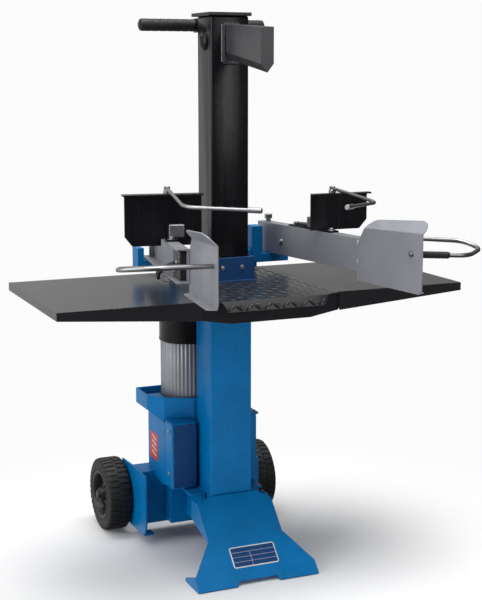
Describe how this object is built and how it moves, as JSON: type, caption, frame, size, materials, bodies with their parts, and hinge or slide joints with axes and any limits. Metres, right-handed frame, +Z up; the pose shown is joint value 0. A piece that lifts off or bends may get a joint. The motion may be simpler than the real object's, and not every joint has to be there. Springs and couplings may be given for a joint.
{
  "type": "log splitter",
  "caption": "Upright hydraulic log splitter: a telescoping column with a splitting knife, a work table, two swinging control arms, a motor, an oil tank and transport wheels.",
  "frame": {"origin": "middle of the footprint box at floor level; the column axis stands 84 mm behind it", "axes": "+Z up along the column, +Y to the rear where the wheels are, +X to the operator's right"},
  "size_m": [1.105, 1.0222, 1.4873],
  "materials": {
    "blue_paint": "gloss",
    "navy_paint": "gloss",
    "black_paint": "gloss",
    "table_paint": "satin",
    "silver_paint": "satin",
    "zinc_steel": "satin",
    "bright_steel": "polished",
    "cast_aluminium": "satin",
    "black_rubber": "matte",
    "tyre_rubber": "matte",
    "black_plastic": "satin",
    "red_plastic": "gloss",
    "green_plastic": "gloss"
  },
  "bodies": {
    "frame": {"axle": "zinc_steel", "axle_bracket_left": "blue_paint", "axle_bracket_right": "blue_paint", "base_frame": "blue_paint", "collar_bolt_left": "zinc_steel", "collar_bolt_right": "zinc_steel", "column_seat": "blue_paint", "control_crossbar": "blue_paint", "cylinder_barrel": "bright_steel", "filler_cap": "black_plastic", "foot_gusset_left": "blue_paint", "foot_gusset_right": "blue_paint", "foot_plate": "blue_paint", "lower_column": "blue_paint", "motor_body": "cast_aluminium", "motor_fan_cover": "black_paint", "motor_tray": "blue_paint", "oil_tank": "blue_paint", "switch_box": "blue_paint", "switch_unit": "black_plastic", "table_collar": "navy_paint", "table_wing_left": "table_paint", "table_wing_right": "table_paint", "tank_lid": "blue_paint", "tread_plate": "table_paint", "valve_block": "bright_steel"},
    "ram": {"mast": "black_paint", "mast_cap": "black_paint", "cross_bolt": "black_paint", "knife": "black_paint", "transport_bracket": "black_paint", "transport_bar": "black_paint", "transport_grip_left": "black_rubber", "transport_grip_right": "black_rubber", "piston_rod": "bright_steel", "piston": "bright_steel"},
    "valve": {"valve_rocker": "zinc_steel"},
    "fan": {"motor_fan": "black_plastic"},
    "start_button": {"start_button": "green_plastic"},
    "stop_button": {"stop_button": "red_plastic"},
    "wheel_left": {"tyre_left": "tyre_rubber", "rim_left": "black_plastic"},
    "lever_left": {"lever_yoke_left": "blue_paint", "swing_pin_left": "zinc_steel"},
    "arm_left": {"arm_left": "silver_paint", "hand_guard_left": "silver_paint", "handle_bail_left": "zinc_steel"},
    "claw_left": {"claw_plate_left": "black_paint", "claw_clamp_left": "zinc_steel"},
    "claw_rod_left": {"claw_rod_left": "zinc_steel"},
    "wheel_right": {"tyre_right": "tyre_rubber", "rim_right": "black_plastic"},
    "lever_right": {"lever_yoke_right": "blue_paint", "swing_pin_right": "zinc_steel"},
    "arm_right": {"arm_right": "silver_paint", "hand_guard_right": "silver_paint", "handle_bail_right": "zinc_steel"},
    "claw_right": {"claw_plate_right": "black_paint", "claw_clamp_right": "zinc_steel"},
    "claw_rod_right": {"claw_rod_right": "zinc_steel"}
  },
  "joints": [
    {"name": "ram_slide", "type": "slide", "parent": "frame", "child": "ram", "axis": [0, 0, -1], "range_m": [0, 0.48]},
    {"name": "fan_spin", "type": "hinge", "parent": "frame", "child": "fan", "pos_m": [-0.046, 0.2346, 0.62], "axis": [0, 0, 1], "continuous": true},
    {"name": "start_button_press", "type": "slide", "parent": "frame", "child": "start_button", "axis": [0, -1, 0], "range_m": [0, 0.003], "stiffness_N_per_m": 400, "springref_m": -0.001},
    {"name": "stop_button_press", "type": "slide", "parent": "frame", "child": "stop_button", "axis": [0, -1, 0], "range_m": [0, 0.003], "stiffness_N_per_m": 400, "springref_m": -0.001},
    {"name": "wheel_spin_left", "type": "hinge", "parent": "frame", "child": "wheel_left", "pos_m": [-0.23, 0.4041, 0.107], "axis": [1, 0, 0], "continuous": true},
    {"name": "lever_press_left", "type": "hinge", "parent": "frame", "child": "lever_left", "pos_m": [-0.13, 0.1671, 0.831], "axis": [1, 0, 0], "range_deg": [0, 6], "stiffness_Nm_per_rad": 260, "springref_deg": -6.88},
    {"name": "arm_swing_left", "type": "hinge", "parent": "lever_left", "child": "arm_left", "pos_m": [-0.174, 0.1731, 0.879], "axis": [0, 0, -1], "range_deg": [-9, 10]},
    {"name": "claw_slide_left", "type": "slide", "parent": "arm_left", "child": "claw_left", "axis": [-0.1598, -0.9871, 0], "range_m": [-0.06, 0.06]},
    {"name": "claw_rod_swivel_left", "type": "hinge", "parent": "claw_left", "child": "claw_rod_left", "pos_m": [-0.23, -0.1059, 1.024], "axis": [0, 0, -1], "range_deg": [0, 75]},
    {"name": "wheel_spin_right", "type": "hinge", "parent": "frame", "child": "wheel_right", "pos_m": [0.23, 0.4041, 0.107], "axis": [1, 0, 0], "continuous": true},
    {"name": "lever_press_right", "type": "hinge", "parent": "frame", "child": "lever_right", "pos_m": [0.13, 0.1671, 0.831], "axis": [1, 0, 0], "range_deg": [0, 6], "stiffness_Nm_per_rad": 260, "springref_deg": -6.88},
    {"name": "arm_swing_right", "type": "hinge", "parent": "lever_right", "child": "arm_right", "pos_m": [0.174, 0.1731, 0.879], "axis": [0, 0, 1], "range_deg": [-9, 10]},
    {"name": "claw_slide_right", "type": "slide", "parent": "arm_right", "child": "claw_right", "axis": [0.1598, -0.9871, 0], "range_m": [-0.06, 0.06]},
    {"name": "claw_rod_swivel_right", "type": "hinge", "parent": "claw_right", "child": "claw_rod_right", "pos_m": [0.23, -0.1059, 1.024], "axis": [0, 0, 1], "range_deg": [0, 75]},
    {"name": "valve_slide", "type": "slide", "parent": "frame", "child": "valve", "axis": [0, 0, -1], "range_m": [0, 0.0021]}
  ],
  "couplings": [
    {"joint": "valve_slide", "follows": "lever_press_left", "m_per_rad": 0.02}
  ]
}
